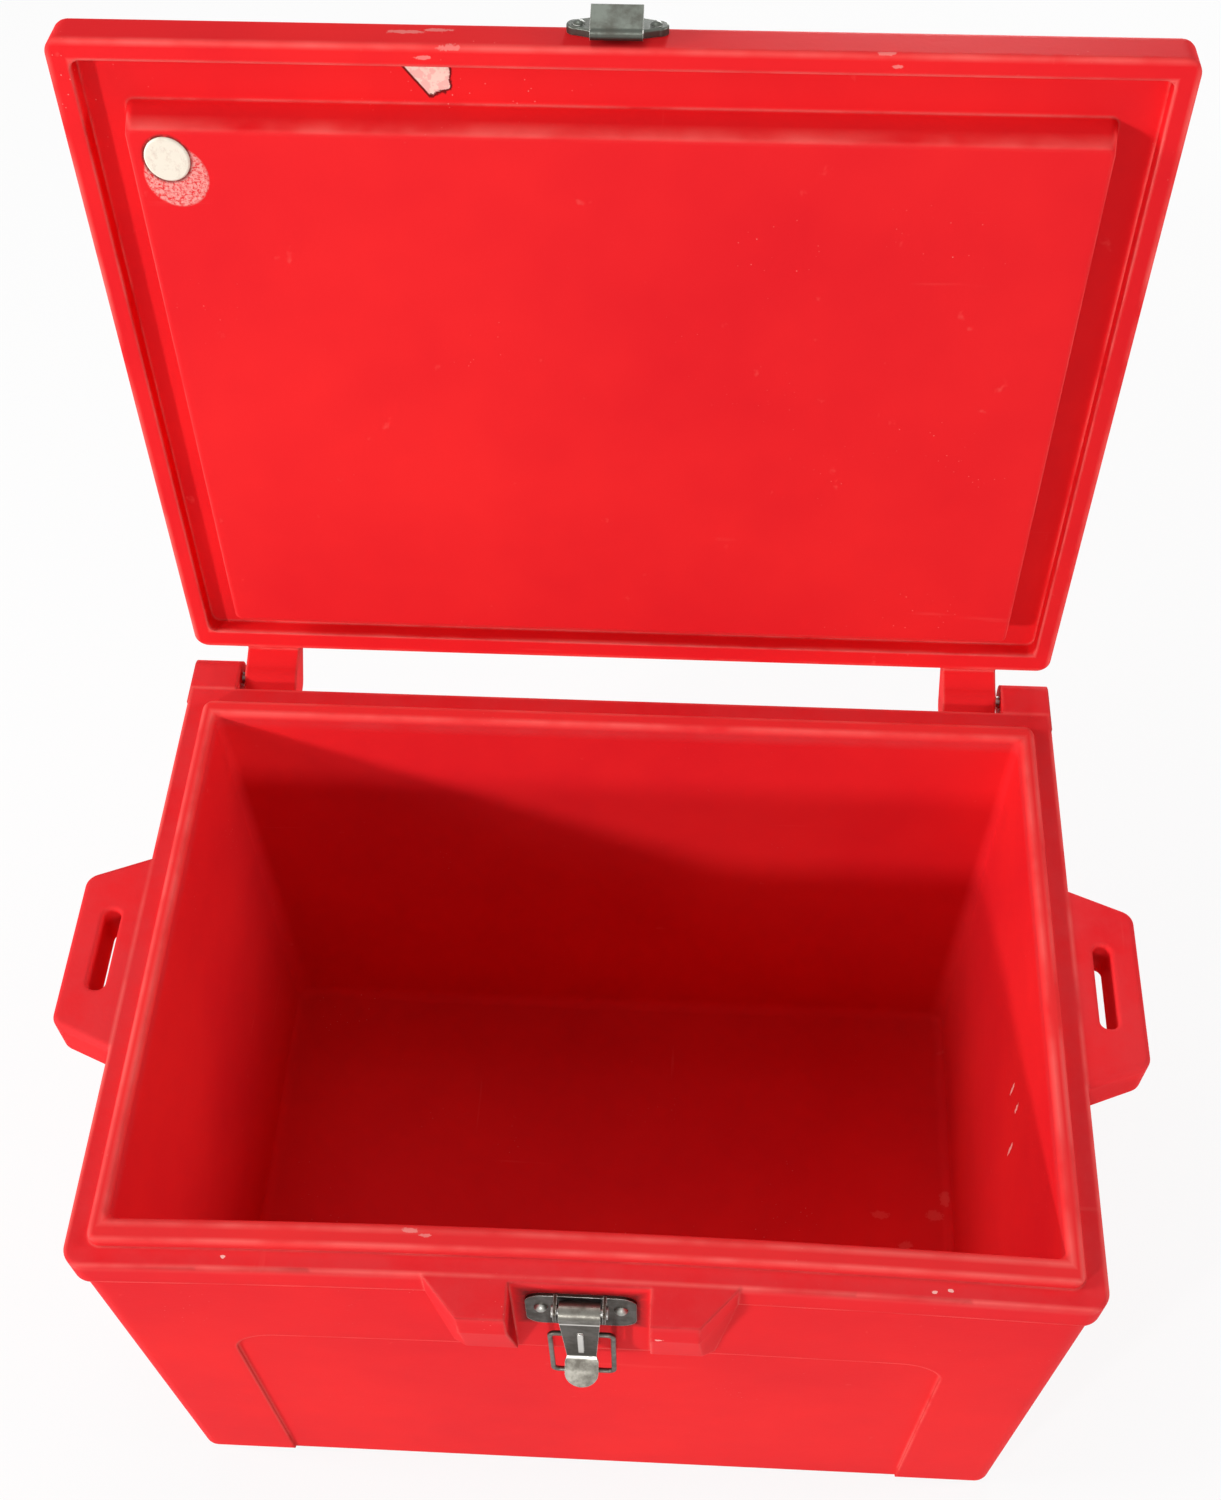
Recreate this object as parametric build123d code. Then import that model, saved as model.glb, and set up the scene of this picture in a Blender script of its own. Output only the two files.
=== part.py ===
from build123d import *
import math
import os

# Insulated transport box: a double-walled, rotationally moulded tub and lid with foam between
# the skins, two moulded carrying lugs, a moulded pin hinge and a steel over-centre toggle latch.
#
# Frame: origin at the centre of the tub's underside, +X to the right, +Y to the hinge,
# -Y to the latch, +Z up.  Millimetres.  The lid is drawn closed and then swung open.

# ---------------------------------------------------------------- driving dimensions
# tub
box_width = 460.0             # over the flange, along X
box_depth = 330.0             # over the flange, along Y
flange_top = 290.0            # height of the flange that the lid rests on
flange_thickness = 18.0
flange_corner = 10.0
flange_edge_round = 2.0
wall_step = 2.0               # the wall stands this far inside the flange
base_inset = 4.5              # the wall's foot stands this far inside the flange
base_corner = 9.0
base_edge_round = 3.5
front_bow = 3.5               # the front rim is drawn inwards this much at its middle
skin = 3.0                    # moulded skin on each side of the foam
foam_clearance = 0.2

# raised rim round the mouth
rim_height = 5.0
rim_side_inset = 10.5
rim_front_inset = 10.0
rim_rear_inset = 12.5
rim_corner = 6.0
rim_outer_round = 2.5
rim_side_width = 8.0
rim_front_width = 12.5
rim_rear_width = 10.5
rim_inner_round = 3.0

# cavity
mouth_corner = 4.0
floor_thickness = 12.0
cavity_side_draft = 1.0       # how far each wall closes in from the mouth to the floor
cavity_front_draft = 3.0
cavity_rear_draft = 5.0
floor_corner = 9.0
floor_round = 6.0

# shallow recessed panel on the front wall
panel_half_width = 172.0
panel_top = 199.0
panel_recess = 2.0
panel_corner = 22.0

# carrying lugs on the sides
lug_reach = 30.5              # beyond the flange
lug_root_half = 55.0
lug_tip_half = 42.0
lug_corner = 8.0
lug_round = 3.0
lug_thickness = 25.0
lug_root_depth = 4.5         # how far each lug runs into the flange and wall
lug_centre_y = -1.5
slot_length = 46.0
slot_width = 9.0
slot_from_flange = 8.5        # from the flange's edge to the slot's near side
slot_corner = 4.0
slot_lip_round = 1.5

# latch guard on the front flange
guard_reach = 15.5            # beyond the flange's corners' front plane
guard_root_half = 70.0
guard_tip_half = 53.0
guard_foot_drop = 64.0        # from the flange's underside to where the guard dies into the wall
guard_foot_root_half = 62.0
guard_foot_tip_half = 56.0
guard_foot_reach = 1.5
recess_half_width = 31.5
recess_floor_proud = -2.0     # the latch seat stands this far behind the flange's front plane

# hinge
hinge_setback = 14.0          # the axis lies this far behind the flange
ear_width = 25.0
ear_lug_gap = 3.0
lid_lug_width = 28.0
hinge_pin_radius = 3.0
hinge_hole_clearance = 0.05
pin_end_recess = 1.0
pin_blind_depth = 24.0        # how far the pin reaches into the lid's lug
lid_open_angle = 95.5         # from closed to the stop
lug_top_rise = 14.0           # how far up the lid's edge each lug starts
lug_flange_gap = 1.0
stop_gap = 0.3                # between the stop nose and the flange when the lid is open
stop_half = 2.0

# lid
lid_seat_gap = 0.3
lid_thickness = 20.0
lid_corner = 7.0
lid_top_round = 4.0
lid_edge_round = 1.5
lip_side_width = 9.3
lip_front_width = 8.6
lip_rear_width = 11.2
lip_corner = 4.5
channel_depth = 9.0
plug_base_side = 26.0         # from the lid's edge to the foot of the raised plug
plug_base_front = 28.5
plug_base_rear = 27.0
plug_draft = 3.0
plug_drop = 10.3              # below the lip
plug_corner = 3.5
plug_face_round = 1.5
lid_foam_margin = 8.0
lid_panel_inset = 26.0
lid_panel_rise = 3.0
lid_panel_draft = 3.0
lid_panel_corner = 12.0

# foam filling plugs
lid_filler_radius = 9.5
lid_filler_side = 44.5       # from the lid's left edge
lid_filler_front = 44.0      # from the lid's front edge
lid_filler_proud = 0.8
body_filler_radius = 12.5
body_filler_side = 80.0
body_filler_front = 75.0
body_filler_recess = 1.0
filler_bevel = 0.6
filler_fit = 0.1

# toggle latch
sheet = 1.5
plate_half_width = 25.0
plate_height = 34.0
plate_top_drop = 11.0         # from the flange's top to the plate's top edge
plate_corner = 8.0
cheek_gap = 0.9               # between the lever's side and the cheek
cheek_height = 15.0
pivot_drop = 15.0             # from the flange's top to the lever's pivot
pivot_standoff = 5.0          # from the plate's face to the pivot
pivot_pin_radius = 2.0
pivot_clearance = 0.05
pivot_head_radius = 3.0
pivot_head = 0.8
knuckle_radius = 4.4
lever_sheet = 1.2
lever_length = 47.0           # from the pivot to the bend
lever_root_half = 9.3
lever_tip_half = 6.8
lever_depth = 7.4
tab_length = 17.0
tab_half = 7.8
tab_shoulder = 3.0
tab_angle = 37.0              # outwards from the lever's face
rib_half = 1.3
rib_proud = 0.8
rib_start = 16.0
rib_end = 40.0
rivet_pitch = 36.0
rivet_head_radius = 3.3
rivet_head_height = 2.3
rivet_shank_radius = 2.0
rivet_shank = 5.5
rivet_fit = 0.05
rivet_drop = 25.0             # from the flange's top to the rivets

# wire bail
wire_radius = 1.2
bail_half_width = 14.5
bail_length = 50.0
bail_from_pivot = 29.0
bail_bend = 3.0
bail_end_inset = 3.0          # how far each end reaches inside the lever's side
bail_hole_clearance = 0.06

# keeper on the lid: a dished plate with two tapering wings and a folded hook between them
keeper_half_width = 20.5
keeper_level = 14.0           # the wings' centre line, above the lip
keeper_root_half = 5.5        # half the plate's height beside the hook
keeper_end_radius = 3.6
keeper_stand = 3.2            # from the lid's edge to the plate's face
keeper_edge_round = 0.8
hook_half_width = 10.5
hook_drop = 1.2               # the fold's underside, above the lip
hook_floor_reach = 6.0        # from the lid's edge to where the hook turns up
hook_tip_reach = 10.5
hook_tip_level = 13.5         # above the lip
hook_bend = 1.7
keeper_rivet_x = 15.5
keeper_rivet_radius = 2.6
keeper_rivet_height = 1.2
keeper_shank_radius = 1.6
keeper_shank = 5.0
latch_washer_radius = 5.5
keeper_washer_radius = 3.8
washer_thickness = 1.0
washer_bed = 3.2              # how deep in the wall each washer is moulded

os.makedirs("parts", exist_ok=True)

# ---------------------------------------------------------------- derived places
half_width = box_width / 2
half_depth = box_depth / 2
flange_bottom = flange_top - flange_thickness
rim_top = flange_top + rim_height
ear_radius = flange_thickness / 2
hinge_y = half_depth + hinge_setback
hinge_z = flange_top - ear_radius
ear_inner = half_width - ear_width
lid_lug_outer = ear_inner - ear_lug_gap
lid_lug_inner = lid_lug_outer - lid_lug_width
lid_bottom = flange_top + lid_seat_gap
lid_top = lid_bottom + lid_thickness
hinge_axis = Axis((0, hinge_y, hinge_z), (1, 0, 0))

seat_y = -half_depth - recess_floor_proud
plate_face_y = seat_y - sheet
pivot_y = plate_face_y - pivot_standoff
pivot_z = flange_top - pivot_drop
bail_z = pivot_z - bail_from_pivot
rivet_z = flange_top - rivet_drop
lid_filler_x = -half_width + lid_filler_side
lid_filler_y = -half_depth + lid_filler_front
keeper_z = lid_bottom + keeper_level
keeper_face_y = -half_depth - keeper_stand
body_filler_x = half_width - body_filler_side
body_filler_y = -half_depth + body_filler_front


# ---------------------------------------------------------------- helpers
def outline(side, front, rear, corner, level, bow=0.0):
    """A rounded rectangle at a height, inset from the flange by side, front and rear."""
    x = half_width - side
    y_front = -half_depth + front
    y_rear = half_depth - rear
    with BuildSketch(Plane.XY.offset(level)) as sketch:
        with BuildLine():
            if bow > 0:
                ThreePointArc((-x, y_front), (0, y_front + bow), (x, y_front))
            else:
                Line((-x, y_front), (x, y_front))
            Polyline((x, y_front), (x, y_rear), (-x, y_rear), (-x, y_front))
        make_face()
        fillet(sketch.vertices(), corner)
    return sketch.sketch


def slab(face, height):
    return extrude(face, amount=height, dir=(0, 0, 1))


def between(lower, upper):
    return loft([lower.face(), upper.face()], ruled=True)


def edges_near_z(part, level, tolerance=0.05):
    """The part's edges that lie wholly at one height."""
    return part.edges().filter_by_position(Axis.Z, level - tolerance, level + tolerance)


def cylinder_x(radius, x_from, x_to, y, z):
    turned = Plane(origin=(x_from, y, z), x_dir=(0, 1, 0), z_dir=(1, 0, 0))
    return extrude(turned * Circle(radius), amount=x_to - x_from)


def cylinder_y(radius, x, y_from, y_to, z):
    turned = Plane(origin=(x, y_from, z), x_dir=(1, 0, 0), z_dir=(0, 1, 0))
    return extrude(turned * Circle(radius), amount=y_to - y_from)


def profile_x(points, x_from, x_to):
    """A closed profile in Y and Z, extruded along X."""
    side_view = Plane(origin=(x_from, 0, 0), x_dir=(0, 1, 0), z_dir=(1, 0, 0))
    return extrude(side_view * make_face(Polyline(*points, close=True)), amount=x_to - x_from)


def opened(part):
    """Swing a piece of the closed lid up to its stop."""
    return part.rotate(hinge_axis, -lid_open_angle)


# ---------------------------------------------------------------- tub
def tub_outer(inset=0.0, front_inset=0.0):
    foot = outline(base_inset + inset, base_inset + inset + front_inset, base_inset + inset,
                   base_corner, inset)
    head = outline(wall_step + inset, wall_step + inset + front_inset, wall_step + inset,
                   flange_corner, flange_bottom - inset, front_bow)
    return between(foot, head)


def cavity(outset=0.0, top=rim_top + 1.0):
    mouth = outline(rim_side_inset + rim_side_width - outset,
                    rim_front_inset + rim_front_width - outset,
                    rim_rear_inset + rim_rear_width - outset, mouth_corner, top, front_bow)
    floor = outline(rim_side_inset + rim_side_width + cavity_side_draft - outset,
                    rim_front_inset + rim_front_width + cavity_front_draft - outset,
                    rim_rear_inset + rim_rear_width + cavity_rear_draft - outset,
                    floor_corner, floor_thickness - outset)
    return between(floor, mouth)


def rounded_cavity():
    """The cavity with the soft turn between its walls and its floor."""
    space = cavity()
    return fillet(edges_near_z(space, floor_thickness), floor_round)


def flange():
    plate = slab(outline(0, 0, 0, flange_corner, flange_bottom, front_bow), flange_thickness)
    plate = fillet(edges_near_z(plate, flange_top), flange_edge_round)
    return plate


def raised_rim():
    ring = slab(outline(rim_side_inset, rim_front_inset, rim_rear_inset, rim_corner,
                        flange_top - 1.0, front_bow), rim_height + 1.0)
    ring = fillet(edges_near_z(ring, rim_top), rim_outer_round)
    ring = ring - cavity()
    mouth_half = half_width - rim_side_inset - rim_side_width + 0.5
    inner = [e for e in edges_near_z(ring, rim_top) if e.bounding_box().max.X <= mouth_half
             and e.bounding_box().min.X >= -mouth_half
             and e.bounding_box().min.Y >= -half_depth + rim_front_inset + rim_front_width - 0.5
             and e.bounding_box().max.Y <= half_depth - rim_rear_inset - rim_rear_width + 0.5]
    return fillet(inner, rim_inner_round)


def carrying_lug(side):
    root_x = half_width - lug_root_depth
    tip_x = half_width + lug_reach
    points = [(root_x, -lug_root_half), (half_width, -lug_root_half), (tip_x, -lug_tip_half),
              (tip_x, lug_tip_half), (half_width, lug_root_half), (root_x, lug_root_half)]
    with BuildPart() as lug:
        with BuildSketch(Plane.XY.offset(flange_top - lug_thickness)) as plan:
            with BuildLine():
                Polyline(*points, close=True)
            make_face()
            fillet(plan.vertices().sort_by(Axis.X)[-2:], lug_corner)
        extrude(amount=lug_thickness)
    body = lug.part
    rounded = [e for e in body.edges().filter_by(Plane.XY) if e.center().X > half_width + 1]
    body = fillet(rounded, lug_round)
    slot_x = half_width + slot_from_flange + slot_width / 2
    with BuildPart() as slot:
        with BuildSketch(Plane.XY.offset(flange_top - lug_thickness - 1)):
            with Locations((slot_x, 0)):
                RectangleRounded(slot_width, slot_length, slot_corner)
        extrude(amount=lug_thickness + 2)
    body = body - slot.part
    mouths = [e for e in body.edges().filter_by(Plane.XY)
              if abs(e.center().X - slot_x) < slot_width and abs(e.center().Y) < slot_length / 2 + 0.1
              and e.length < slot_length]
    body = fillet(mouths, slot_lip_round)
    body = Pos(0, lug_centre_y, 0) * body
    return body if side > 0 else mirror(body, Plane.YZ)


def latch_guard():
    """The trapezoid that stands out round the latch and dies into the wall below it."""
    def plan(root_half, tip_half, reach, level):
        y_root = -half_depth + front_bow + flange_corner / 4
        points = [(-root_half, y_root), (-root_half, -half_depth + front_bow),
                  (-tip_half, -half_depth - reach), (tip_half, -half_depth - reach),
                  (root_half, -half_depth + front_bow), (root_half, y_root)]
        return Plane.XY.offset(level) * make_face(Polyline(*points, close=True))
    top = plan(guard_root_half, guard_tip_half, guard_reach, flange_bottom)
    foot = plan(guard_foot_root_half, guard_foot_tip_half, guard_foot_reach - wall_step,
                flange_bottom - guard_foot_drop)
    shelf = extrude(top, amount=flange_thickness, dir=(0, 0, 1))
    return shelf + loft([foot.face(), top.face()], ruled=True)


def latch_recess():
    bottom = flange_bottom - guard_foot_drop - 5
    depth = guard_reach + 10
    block = Box(2 * recess_half_width, depth, flange_top + 5 - bottom,
                align=(Align.CENTER, Align.MAX, Align.MIN))
    return Pos(0, seat_y, bottom) * block


def ear(side):
    """A bar of the flange's thickness that carries the hinge pin in its round end."""
    root_y = half_depth - flange_corner - 1
    bar = Pos((ear_inner + half_width) / 2, (root_y + hinge_y) / 2, hinge_z) * Box(
        ear_width, hinge_y - root_y, flange_thickness)
    bar = bar + cylinder_x(ear_radius, ear_inner, half_width, hinge_y, hinge_z)
    return bar if side > 0 else mirror(bar, Plane.YZ)


def front_panel():
    """The cut that leaves a shallow panel in the front wall, at one depth below its face."""
    low = -base_edge_round - 1
    with BuildSketch(Plane.XZ) as face:
        with BuildLine():
            Polyline((-panel_half_width, low), (-panel_half_width, panel_top),
                     (panel_half_width, panel_top), (panel_half_width, low), close=True)
        make_face()
        fillet(face.vertices().sort_by(Axis.Y)[-2:], panel_corner)
    block = Pos(0, -half_depth + base_inset + 20, 0) * extrude(face.sketch, amount=40)
    return block - tub_outer(0, panel_recess)


def pin_hole(side):
    hole = cylinder_x(hinge_pin_radius + hinge_hole_clearance, lid_lug_outer - 1, half_width + 1,
                      hinge_y, hinge_z)
    return hole if side > 0 else mirror(hole, Plane.YZ)


def rivet_holes(x_places, radius, depth, y, z):
    holes = [cylinder_y(radius, x, y - 1, y + depth, z) for x in x_places]
    return holes[0] + holes[1]


def washer(radius, hole, x, y, z):
    """A backing washer that the rivet's tail closes on, moulded into the wall."""
    return cylinder_y(radius, x, y, y + washer_thickness, z) - cylinder_y(hole, x, y - 1, y + 2, z)


def latch_washer(side):
    return washer(latch_washer_radius, rivet_shank_radius + rivet_fit, side * rivet_pitch / 2,
                  seat_y + washer_bed, rivet_z)


def washer_beds(x_places, radius, y, z):
    """The spaces that two washers are moulded into."""
    beds = [cylinder_y(radius + rivet_fit, x, y - rivet_fit, y + washer_thickness + rivet_fit, z)
            for x in x_places]
    return beds[0] + beds[1]


def body_foam():
    """The foam between the tub's skins."""
    block = tub_outer(skin + foam_clearance, panel_recess)
    return block - cavity(skin + foam_clearance)


def body_shell():
    wall = tub_outer()
    wall = fillet(edges_near_z(wall, 0.0), base_edge_round)
    wall = wall - front_panel() - tub_hollow()
    top = flange() + carrying_lug(1) + carrying_lug(-1)
    top = top + ear(1) + ear(-1)
    shell = wall + top
    shell = shell + latch_guard()
    shell = shell - rounded_cavity()
    shell = shell + raised_rim()
    shell = shell - latch_recess()
    for side in (1, -1):
        shell = shell - pin_hole(side)
    shell = shell - rivet_holes((-rivet_pitch / 2, rivet_pitch / 2),
                                rivet_shank_radius + rivet_fit, rivet_shank + 0.3, seat_y, rivet_z)
    shell = shell - washer_beds((-rivet_pitch / 2, rivet_pitch / 2), latch_washer_radius,
                                seat_y + washer_bed, rivet_z)
    return shell - cylinder_z(body_filler_radius + filler_fit, body_filler_x, body_filler_y, -1, skin + 0.5)


def tub_hollow():
    """The hollow between the skins, closed all round."""
    return tub_outer(skin, panel_recess) - cavity(skin)


# ---------------------------------------------------------------- lid, drawn closed
def lid_block():
    block = slab(outline(0, 0, 0, lid_corner, lid_bottom), lid_thickness)
    block = fillet(edges_near_z(block, lid_top), lid_top_round)
    block = fillet(edges_near_z(block, lid_bottom), lid_edge_round)
    grown = lid_panel_inset - lid_panel_draft
    panel = between(outline(grown, grown, grown, lid_panel_corner, lid_top - 0.01),
                    outline(lid_panel_inset, lid_panel_inset, lid_panel_inset, lid_panel_corner,
                            lid_top + lid_panel_rise))
    return block + panel


def plug(inset=0.0, top=lid_bottom + channel_depth):
    """The raised plug that drops into the mouth."""
    level = lid_bottom - plug_drop + inset
    face = outline(plug_base_side + plug_draft + inset, plug_base_front + plug_draft + inset,
                   plug_base_rear + plug_draft + inset, plug_corner, level)
    foot = outline(plug_base_side + inset, plug_base_front + inset, plug_base_rear + inset,
                   plug_corner, top)
    body = between(face, foot)
    return fillet(edges_near_z(body, level), plug_face_round)


def channel():
    ring = slab(outline(lip_side_width, lip_front_width, lip_rear_width, lip_corner,
                        lid_bottom - 1), channel_depth + 1)
    return ring


def lid_lug(side):
    """A hinge knuckle with the arm that joins it to the lid's rear edge."""
    reach_in = half_depth - lip_rear_width / 2
    low = lid_bottom + lug_flange_gap
    arm = profile_x([(reach_in, low), (half_depth + lug_flange_gap, low),
                     (hinge_y - ear_radius, hinge_z), (hinge_y + ear_radius, hinge_z),
                     (hinge_y + ear_radius * math.cos(math.pi / 4),
                      hinge_z + ear_radius * math.sin(math.pi / 4)),
                     (half_depth, lid_bottom + lug_top_rise),
                     (reach_in, lid_bottom + lug_top_rise)], lid_lug_inner, lid_lug_outer)
    lug = arm + cylinder_x(ear_radius, lid_lug_inner, lid_lug_outer, hinge_y, hinge_z)
    lug = lug + stop_nose()
    hole = cylinder_x(hinge_pin_radius + hinge_hole_clearance,
                      lid_lug_outer - pin_blind_depth - 1, lid_lug_outer + 1, hinge_y, hinge_z)
    lug = lug - hole
    return lug if side > 0 else mirror(lug, Plane.YZ)


def stop_nose():
    """The nose under each knuckle that meets the flange's rear face when the lid is open."""
    lean = math.radians(lid_open_angle - 90)
    down = Vector(0, math.sin(lean), -math.cos(lean))
    across = Vector(0, math.cos(lean), math.sin(lean))
    centre = Vector(0, hinge_y, hinge_z)
    reach = hinge_setback - stop_gap
    corners = [centre + down * 4 - across * 7.5, centre + down * reach - across * stop_half,
               centre + down * reach + across * stop_half, centre + down * 4 + across * 7.5]
    return profile_x([(corner.Y, corner.Z) for corner in corners], lid_lug_inner, lid_lug_outer)


def lid_hollow(gap=0.0):
    margin = lid_foam_margin + gap
    upper = slab(outline(margin, margin, margin, lid_corner - lid_foam_margin / 2,
                         lid_bottom + channel_depth + skin + gap),
                 lid_thickness - channel_depth - 2 * skin - 2 * gap)
    lower = plug(skin + gap, lid_bottom + channel_depth + skin + gap + 1)
    return upper + lower


def lid_shell():
    shell = lid_block() - channel() + plug()
    for side in (1, -1):
        shell = shell + lid_lug(side)
    shell = shell - lid_hollow()
    seat = cylinder_z(lid_filler_radius + filler_fit, lid_filler_x, lid_filler_y,
                      lid_bottom - plug_drop - 1, lid_bottom - plug_drop + skin + 1)
    shell = shell - seat
    shell = shell - washer_beds((-keeper_rivet_x, keeper_rivet_x), keeper_washer_radius,
                                -half_depth + washer_bed, keeper_z)
    return shell - rivet_holes((-keeper_rivet_x, keeper_rivet_x), keeper_shank_radius + rivet_fit,
                               keeper_shank + 0.3, -half_depth, keeper_z)


def cylinder_z(radius, x, y, z_from, z_to):
    return extrude(Plane(origin=(x, y, z_from)) * Circle(radius), amount=z_to - z_from)


def lid_foam():
    return lid_hollow(foam_clearance)


def lid_filler():
    face = lid_bottom - plug_drop - lid_filler_proud
    disc = cylinder_z(lid_filler_radius, lid_filler_x, lid_filler_y, face,
                      lid_bottom - plug_drop + skin)
    return chamfer(edges_near_z(disc, face), filler_bevel)


def body_filler():
    disc = cylinder_z(body_filler_radius, body_filler_x, body_filler_y, body_filler_recess, skin)
    return chamfer(edges_near_z(disc, body_filler_recess), filler_bevel)


# ---------------------------------------------------------------- hinge pins
def hinge_pin(side):
    pin = cylinder_x(hinge_pin_radius, lid_lug_outer - pin_blind_depth,
                     half_width - pin_end_recess, hinge_y, hinge_z)
    return pin if side > 0 else mirror(pin, Plane.YZ)


# ---------------------------------------------------------------- toggle latch
def latch_base_plate():
    top = flange_top - plate_top_drop
    with BuildSketch(Plane.XZ) as face:
        with Locations((0, top - plate_height / 2)):
            RectangleRounded(2 * plate_half_width, plate_height, plate_corner)
    plate = Pos(0, seat_y, 0) * extrude(face.sketch, amount=sheet)
    for x in (-rivet_pitch / 2, rivet_pitch / 2):
        plate = plate - cylinder_y(rivet_shank_radius + rivet_fit, x, plate_face_y - 1, seat_y + 1,
                                   rivet_z)
    inner = lever_root_half + cheek_gap
    cheek_tip = pivot_y - pivot_head_radius - 1
    for side in (1, -1):
        cheek = profile_x([(plate_face_y + sheet / 2, pivot_z + cheek_height / 3),
                           (cheek_tip, pivot_z + cheek_height / 3),
                           (cheek_tip, pivot_z - cheek_height / 3),
                           (plate_face_y + sheet / 2, pivot_z - 2 * cheek_height / 3)],
                          inner, inner + sheet)
        cheek = fillet([e for e in cheek.edges().filter_by(Axis.X)
                        if e.center().Y < pivot_y - pivot_head_radius], 2.5)
        cheek = cheek - cylinder_x(pivot_pin_radius + pivot_clearance, inner - 1, inner + sheet + 1,
                                   pivot_y, pivot_z)
        plate = plate + (cheek if side > 0 else mirror(cheek, Plane.YZ))
    return plate


def latch_pivot_pin():
    """A headed pin through both cheeks and the lever's knuckle."""
    outer = lever_root_half + cheek_gap + sheet
    pin = cylinder_x(pivot_pin_radius, -outer - pivot_head / 2, outer + pivot_head / 2, pivot_y, pivot_z)
    for x_from in (-outer - pivot_head - 0.1, outer + 0.1):
        pin = pin + cylinder_x(pivot_head_radius, x_from, x_from + pivot_head, pivot_y, pivot_z)
    return pin


def domed_rivet(head_radius, head_height, shank_radius, shank_length):
    """A rivet that points along +Y, with the underside of its head at the origin."""
    rise = head_height
    sphere_radius = (head_radius ** 2 + rise ** 2) / (2 * rise)
    dome = Sphere(sphere_radius)
    dome = Pos(0, sphere_radius - rise, 0) * dome
    keep = Pos(0, -rise / 2, 0) * Box(3 * head_radius, rise, 3 * head_radius)
    return (dome & keep) + cylinder_y(shank_radius, 0, -rise / 2, shank_length, 0)


def latch_rivet(side):
    rivet = domed_rivet(rivet_head_radius, rivet_head_height, rivet_shank_radius, rivet_shank + sheet)
    return Pos(side * rivet_pitch / 2, plate_face_y, rivet_z) * rivet


def lever_outline(root_half, tip_half, top, bottom, y, depth):
    """A tapering strip seen from the front, with its depth towards the box."""
    points = [(-root_half, top), (root_half, top), (tip_half, bottom), (-tip_half, bottom)]
    front_view = Plane(origin=(0, y, 0), x_dir=(1, 0, 0), z_dir=(0, -1, 0))
    face = front_view * make_face(Polyline(*points, close=True))
    return extrude(face, amount=depth, dir=(0, 1, 0))


def latch_lever():
    front = pivot_y - knuckle_radius
    bend_z = pivot_z - lever_length
    strip = lever_outline(lever_root_half, lever_tip_half, pivot_z, bend_z, front, lever_depth)
    hollow = lever_outline(lever_root_half - lever_sheet, lever_tip_half - lever_sheet,
                           pivot_z + 1, bend_z - 1, front + lever_sheet, lever_depth)
    channel_part = strip - hollow
    slant = profile_x([(front + lever_sheet + 0.8, bend_z - 1), (front + lever_depth + 1, bend_z - 1),
                       (front + lever_depth + 1, bend_z + 2 * lever_depth)],
                      -lever_root_half - 1, lever_root_half + 1)
    channel_part = channel_part - slant
    knuckle = cylinder_x(knuckle_radius, -lever_root_half, lever_root_half, pivot_y, pivot_z)
    lever = channel_part + knuckle
    rib = Pos(0, front - rib_proud / 2 + 0.1, pivot_z - (rib_start + rib_end) / 2) * Box(
        2 * rib_half, rib_proud + 0.2, rib_end - rib_start)
    rib = fillet(rib.edges().filter_by(Axis.Y), 0.9)
    lever = lever + rib
    round_from = -tab_length + tab_half * 0.9
    with BuildSketch() as tab_plan:
        with BuildLine():
            Polyline((-tab_half, round_from), (-tab_half, -tab_shoulder), (-lever_tip_half, 0),
                     (-lever_tip_half, 1), (lever_tip_half, 1), (lever_tip_half, 0),
                     (tab_half, -tab_shoulder), (tab_half, round_from))
            ThreePointArc((tab_half, round_from), (0, -tab_length), (-tab_half, round_from))
        make_face()
    tab = extrude(tab_plan.sketch, amount=-lever_sheet)
    out = math.radians(tab_angle)
    tab_plane = Plane(origin=(0, front, bend_z), x_dir=(1, 0, 0),
                      z_dir=(0, -math.cos(out), math.sin(out)))
    lever = lever + tab_plane.location * tab
    lever = lever - cylinder_x(pivot_pin_radius + pivot_clearance, -lever_root_half - 1,
                               lever_root_half + 1, pivot_y, pivot_z)
    return lever - cylinder_x(wire_radius + bail_hole_clearance, -lever_root_half - 1,
                              lever_root_half + 1, pivot_y, bail_z)


def latch_bail():
    """A wire loop whose two ends turn inwards into the lever's sides."""
    width_at_bail = lever_root_half - (lever_root_half - lever_tip_half) * bail_from_pivot / lever_length
    end_x = width_at_bail - bail_end_inset
    low = bail_z - bail_length
    points = [(-end_x, pivot_y, bail_z), (-bail_half_width, pivot_y, bail_z),
              (-bail_half_width, pivot_y, low), (bail_half_width, pivot_y, low),
              (bail_half_width, pivot_y, bail_z), (end_x, pivot_y, bail_z)]
    path = FilletPolyline(*points, radius=bail_bend)
    section = Plane(origin=path @ 0, z_dir=path % 0) * Circle(wire_radius)
    return sweep(section, path)


# ---------------------------------------------------------------- keeper, drawn on the closed lid
def keeper_outline(inset):
    """The plate seen from the front: a straight middle and two wings that taper to round ends."""
    middle = hook_half_width
    tip = keeper_half_width - keeper_end_radius
    root, end = keeper_root_half - inset, keeper_end_radius - inset
    points = [(-tip, end), (-middle, root), (middle, root), (tip, end),
              (tip, -end), (middle, -root), (-middle, -root), (-tip, -end)]
    front_view = Plane(origin=(0, -half_depth, keeper_z), x_dir=(1, 0, 0), z_dir=(0, -1, 0))
    face = make_face(Polyline(*points, close=True))
    face = face + Pos(-tip, 0) * Circle(end) + Pos(tip, 0) * Circle(end)
    return front_view * face


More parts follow.
